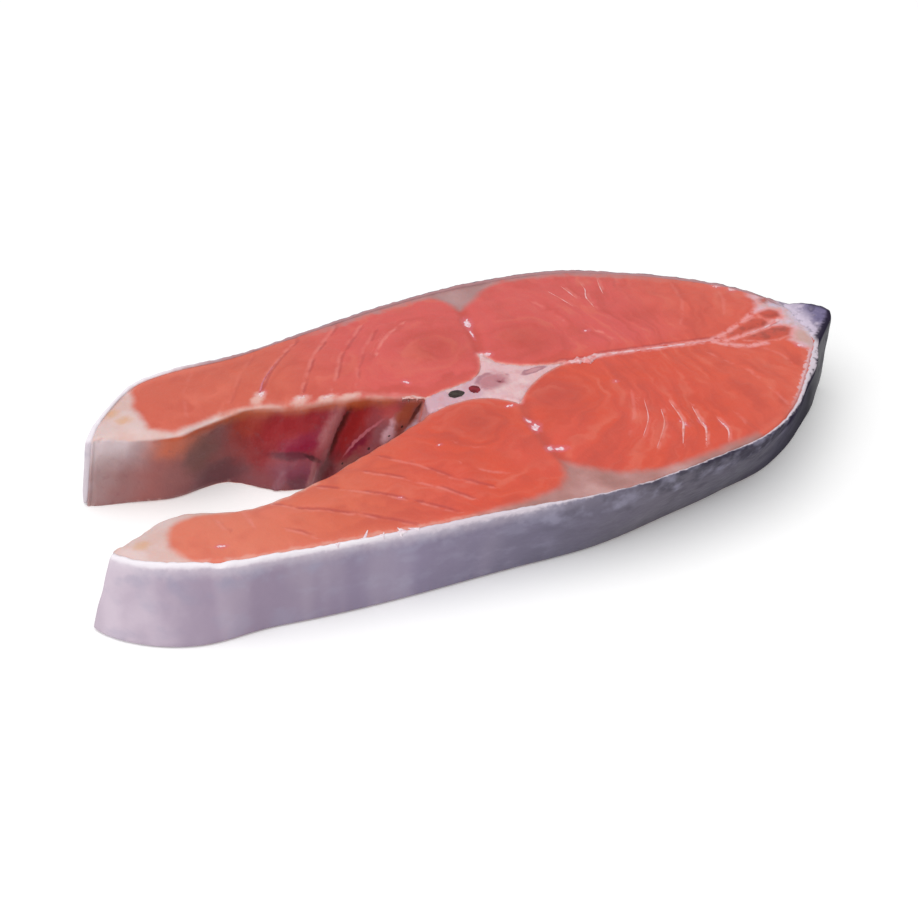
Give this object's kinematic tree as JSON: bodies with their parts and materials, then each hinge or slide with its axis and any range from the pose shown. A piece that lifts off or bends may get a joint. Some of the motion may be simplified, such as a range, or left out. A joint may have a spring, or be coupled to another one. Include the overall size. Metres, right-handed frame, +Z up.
{
  "type": "raw salmon steak",
  "caption": "Raw salmon cross-cut steak: orange flesh in lobes round a section of backbone, an open belly cavity between the flaps, and a strip of grey skin ending in a fin stub.",
  "frame": {"origin": "middle of the bounding box in plan, on the lower cut face that the steak lies on", "axes": "+X towards the back of the fish and its fin stub, -X towards the belly flaps, +Z up out of the upper cut face"},
  "size_m": [0.2164, 0.1034, 0.0218],
  "materials": {
    "flesh": "wet raw fish flesh, orange red with pale lines between the flakes",
    "skin": "wet fish skin, pale lavender at the belly and slate grey at the back",
    "bone": "wet pinkish white bone and cartilage"
  },
  "bodies": {
    "root": {"flesh": "flesh", "skin": "skin", "backbone": "bone"}
  },
  "joints": []
}
